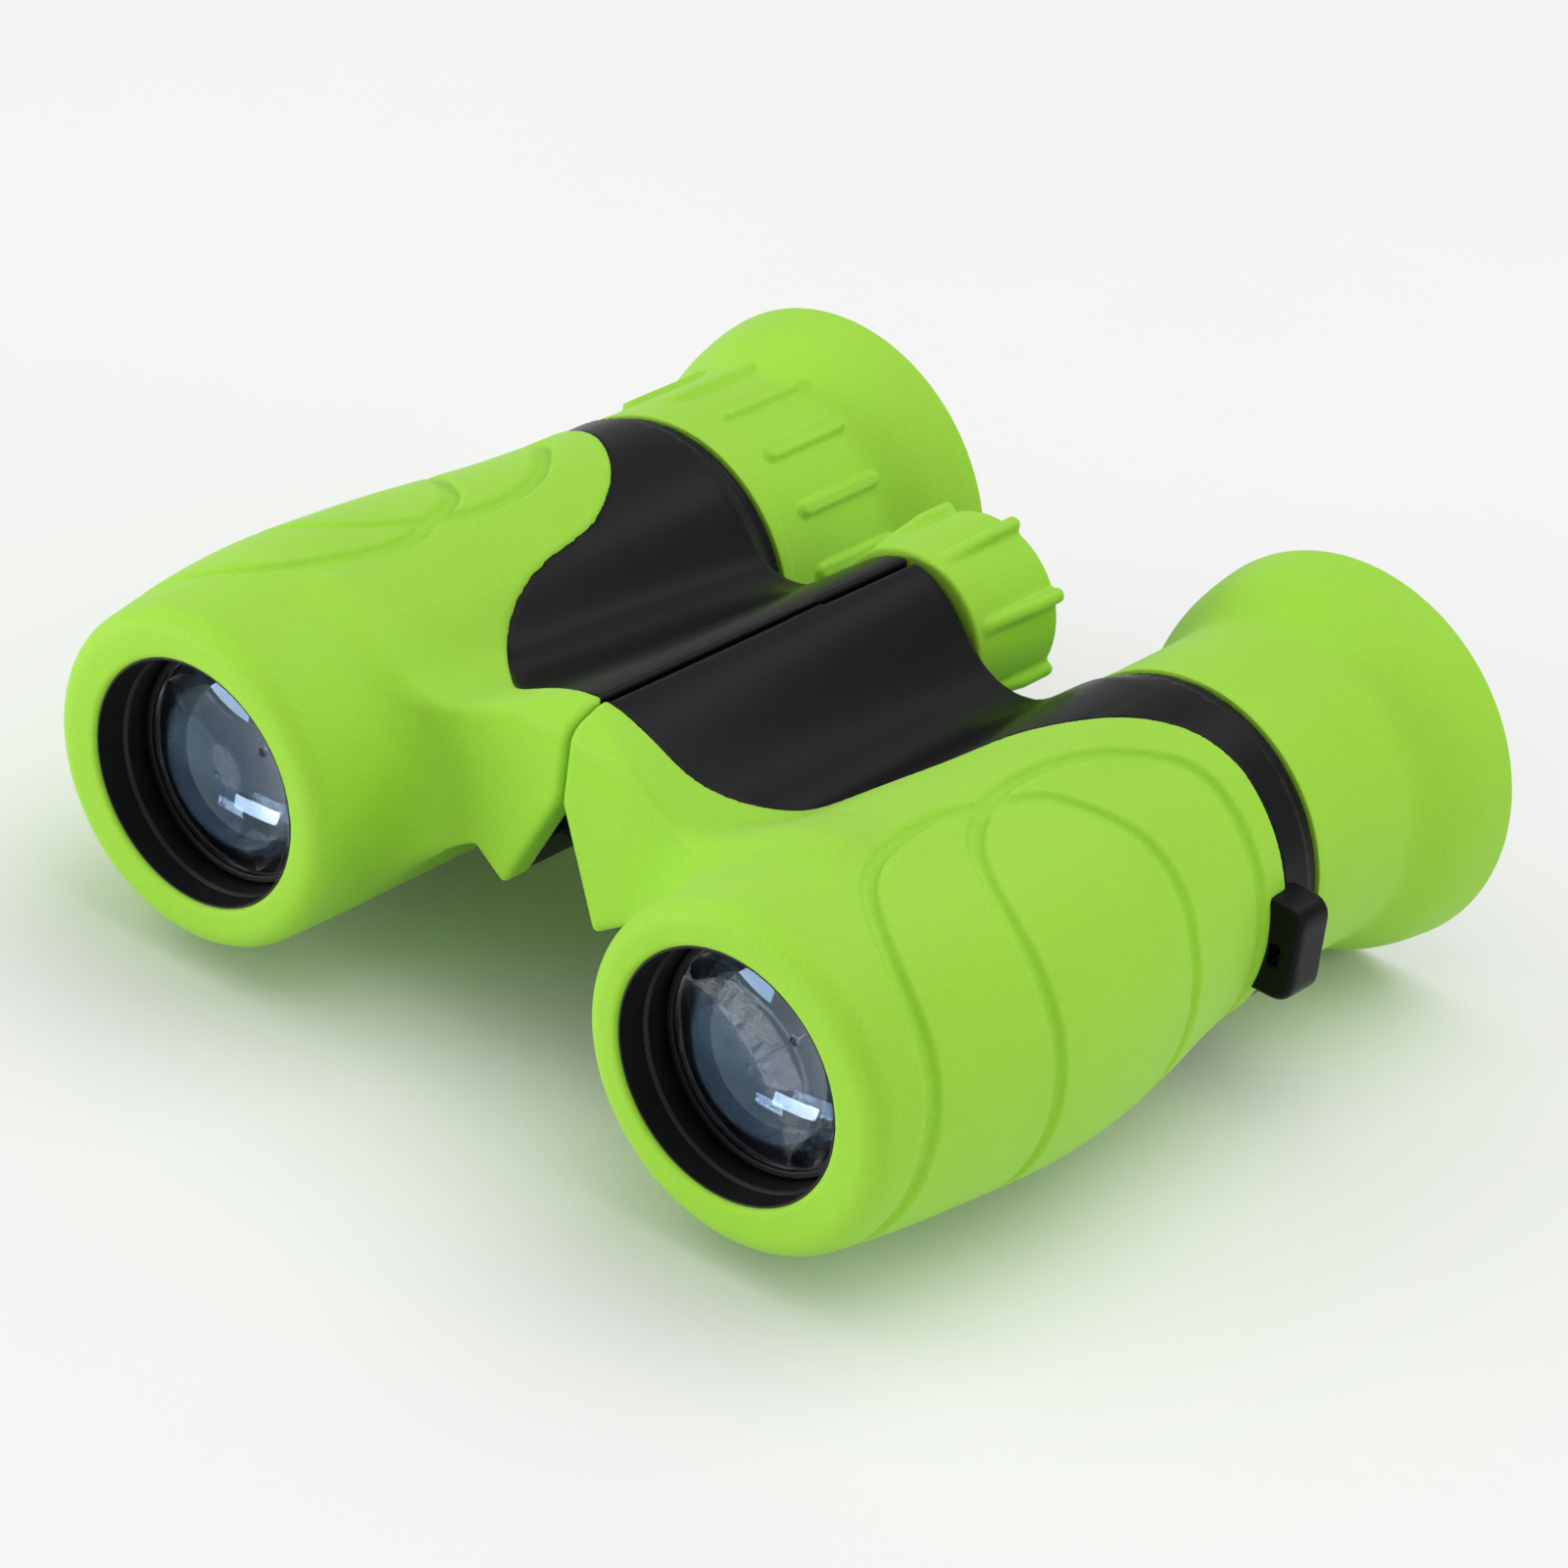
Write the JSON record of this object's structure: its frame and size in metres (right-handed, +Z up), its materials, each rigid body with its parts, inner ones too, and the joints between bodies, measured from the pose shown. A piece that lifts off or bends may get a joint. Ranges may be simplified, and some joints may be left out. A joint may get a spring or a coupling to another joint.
{
  "type": "hinged binoculars",
  "caption": "Compact hinged binoculars with rubber armour, flared eyecups, a focus wheel on the hinge axis and a dioptre ring on one eyepiece.",
  "frame": {"origin": "on the resting surface, under the middle of the part's box, hinge fully opened", "axes": "+X to the user's left across both barrels, +Y from the objectives to the eyepieces, +Z up"},
  "size_m": [0.1086, 0.0966, 0.0407],
  "materials": {
    "green_rubber": "soft matte",
    "black_plastic": "satin",
    "black_inner_plastic": "matte",
    "coated_glass": "clear, blue coating",
    "prism_glass": "clear",
    "steel": "satin",
    "brass": "turned",
    "aluminium": "stamped"
  },
  "bodies": {
    "right_half": {"right_housing": "black_plastic", "right_armour": "green_rubber", "right_strap_lug": "black_plastic", "right_objective_tube": "black_inner_plastic", "right_prism_cage": "black_inner_plastic", "right_half_prism": "prism_glass", "right_roof_prism": "prism_glass", "right_prism_clip": "steel", "hinge_pin": "steel", "hinge_washer": "steel", "hinge_bush": "brass", "hinge_cover": "black_plastic"},
    "left_half": {"left_housing": "black_plastic", "left_armour": "green_rubber", "left_strap_lug": "black_plastic", "left_objective_tube": "black_inner_plastic", "left_prism_cage": "black_inner_plastic", "left_half_prism": "prism_glass", "left_roof_prism": "prism_glass", "left_prism_clip": "steel", "left_eyepiece_sleeve": "black_plastic", "left_eyecup": "green_rubber", "left_ocular_tube": "black_inner_plastic", "left_field_lens": "coated_glass", "left_eye_lens": "coated_glass", "left_ocular_retainer": "black_inner_plastic"},
    "focus_wheel": {"focus_spindle": "brass", "focus_wheel_hub": "black_plastic", "focus_wheel_cap": "black_plastic", "focus_wheel_grip": "green_rubber"},
    "focus_carrier": {"focus_nut": "brass", "focus_nut_clip": "steel"},
    "right_objective_carriage": {"right_objective_cell": "black_inner_plastic", "right_objective_retainer": "black_inner_plastic", "right_crown_lens": "coated_glass", "right_flint_lens": "coated_glass", "right_focus_arm": "aluminium"},
    "left_objective_carriage": {"left_objective_cell": "black_inner_plastic", "left_objective_retainer": "black_inner_plastic", "left_crown_lens": "coated_glass", "left_flint_lens": "coated_glass", "left_focus_arm": "aluminium"},
    "dioptre_eyepiece": {"right_dioptre_ring": "black_plastic", "right_eyecup": "green_rubber"},
    "right_ocular": {"right_ocular_tube": "black_inner_plastic", "right_field_lens": "coated_glass", "right_eye_lens": "coated_glass", "right_ocular_retainer": "black_inner_plastic"}
  },
  "joints": [
    {"name": "fold", "type": "hinge", "parent": "right_half", "child": "left_half", "pos_m": [0, -0.00754, 0.0286], "axis": [0, 1, 0], "range_deg": [0, 46]},
    {"name": "focus_turn", "type": "hinge", "parent": "right_half", "child": "focus_wheel", "pos_m": [0, -0.00754, 0.0286], "axis": [0, 1, 0], "range_deg": [-270, 270]},
    {"name": "focus_nut_slide", "type": "slide", "parent": "right_half", "child": "focus_carrier", "axis": [0, 1, 0], "range_m": [-0.0015, 0.0015]},
    {"name": "right_objective_slide", "type": "slide", "parent": "right_half", "child": "right_objective_carriage", "axis": [0, 1, 0], "range_m": [-0.0015, 0.0015]},
    {"name": "left_objective_slide", "type": "slide", "parent": "left_half", "child": "left_objective_carriage", "axis": [0, 1, 0], "range_m": [-0.0015, 0.0015]},
    {"name": "dioptre_turn", "type": "hinge", "parent": "right_half", "child": "dioptre_eyepiece", "pos_m": [-0.033, 0.02746, 0.02035], "axis": [0, 1, 0], "range_deg": [-60, 60]},
    {"name": "right_ocular_slide", "type": "slide", "parent": "right_half", "child": "right_ocular", "axis": [0, 1, 0], "range_m": [-0.0012, 0.0012]}
  ],
  "couplings": [
    {"joint": "focus_nut_slide", "follows": "focus_turn", "m_per_rad": -0.00031831},
    {"joint": "right_objective_slide", "follows": "focus_turn", "m_per_rad": -0.00031831},
    {"joint": "left_objective_slide", "follows": "focus_turn", "m_per_rad": -0.00031831},
    {"joint": "right_ocular_slide", "follows": "dioptre_turn", "m_per_rad": -0.0011459}
  ]
}
